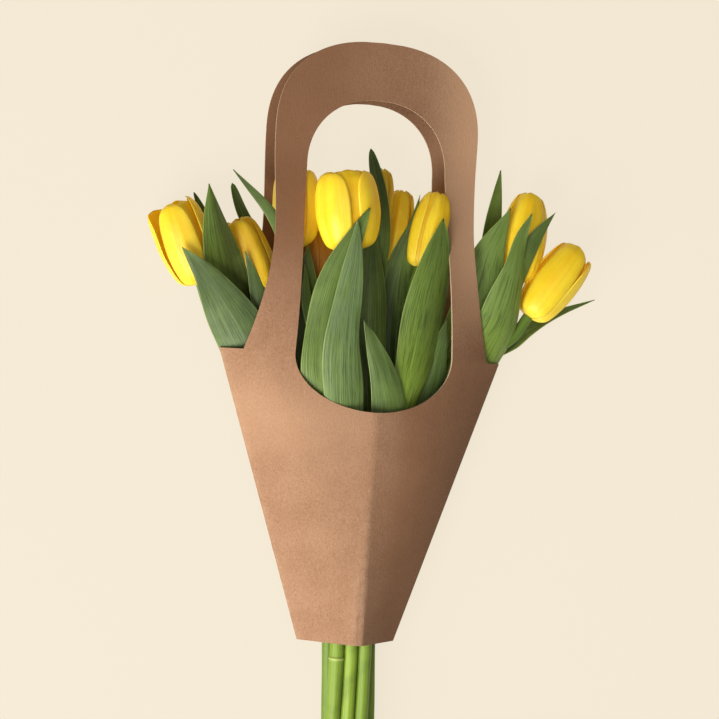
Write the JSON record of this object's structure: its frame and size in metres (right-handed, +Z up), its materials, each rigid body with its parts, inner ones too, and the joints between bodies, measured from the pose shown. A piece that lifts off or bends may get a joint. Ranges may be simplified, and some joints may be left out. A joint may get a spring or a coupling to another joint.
{
  "type": "bunch of tulips",
  "caption": "Bunch of yellow tulips in a folded kraft-board carrier with a handle arch, lying on its back.",
  "frame": {"origin": "on the flat strip of the carrier's back panel, 65 mm above the open lower end, where the bunch rests", "axes": "+X across the bunch to its right, +Y along it from the cut stems to the flower heads, +Z up from the surface it lies on"},
  "size_m": [0.2794, 0.4414, 0.0564],
  "materials": {
    "kraft_board": "matt brown kraft board with fine fibres",
    "stem": "smooth bright green stem",
    "leaf": "satin blue-green leaf with parallel veins",
    "petal": "silky yellow petal"
  },
  "bodies": {
    "root": {"carrier": "kraft_board", "tulip_01_stem": "stem", "tulip_01_leaf_1": "leaf", "tulip_01_leaf_2": "leaf", "tulip_01_bloom": "petal", "tulip_02_stem": "stem", "tulip_02_leaf_1": "leaf", "tulip_02_leaf_2": "leaf", "tulip_02_bloom": "petal", "tulip_03_stem": "stem", "tulip_03_leaf_1": "leaf", "tulip_03_leaf_2": "leaf", "tulip_03_bloom": "petal", "tulip_04_stem": "stem", "tulip_04_leaf_1": "leaf", "tulip_04_leaf_2": "leaf", "tulip_04_bloom": "petal", "tulip_05_stem": "stem", "tulip_05_leaf_1": "leaf", "tulip_05_leaf_2": "leaf", "tulip_05_bloom": "petal", "tulip_06_stem": "stem", "tulip_06_leaf_1": "leaf", "tulip_06_bloom": "petal", "tulip_07_stem": "stem", "tulip_07_leaf_1": "leaf", "tulip_07_leaf_2": "leaf", "tulip_07_bloom": "petal", "tulip_08_stem": "stem", "tulip_08_leaf_1": "leaf", "tulip_08_leaf_2": "leaf", "tulip_08_leaf_3": "leaf", "tulip_08_bloom": "petal", "tulip_09_stem": "stem", "tulip_09_leaf_1": "leaf", "tulip_09_leaf_2": "leaf", "tulip_09_bloom": "petal", "tulip_10_stem": "stem", "tulip_10_leaf_1": "leaf", "tulip_10_leaf_2": "leaf", "tulip_10_leaf_3": "leaf", "tulip_10_bloom": "petal"}
  },
  "joints": []
}
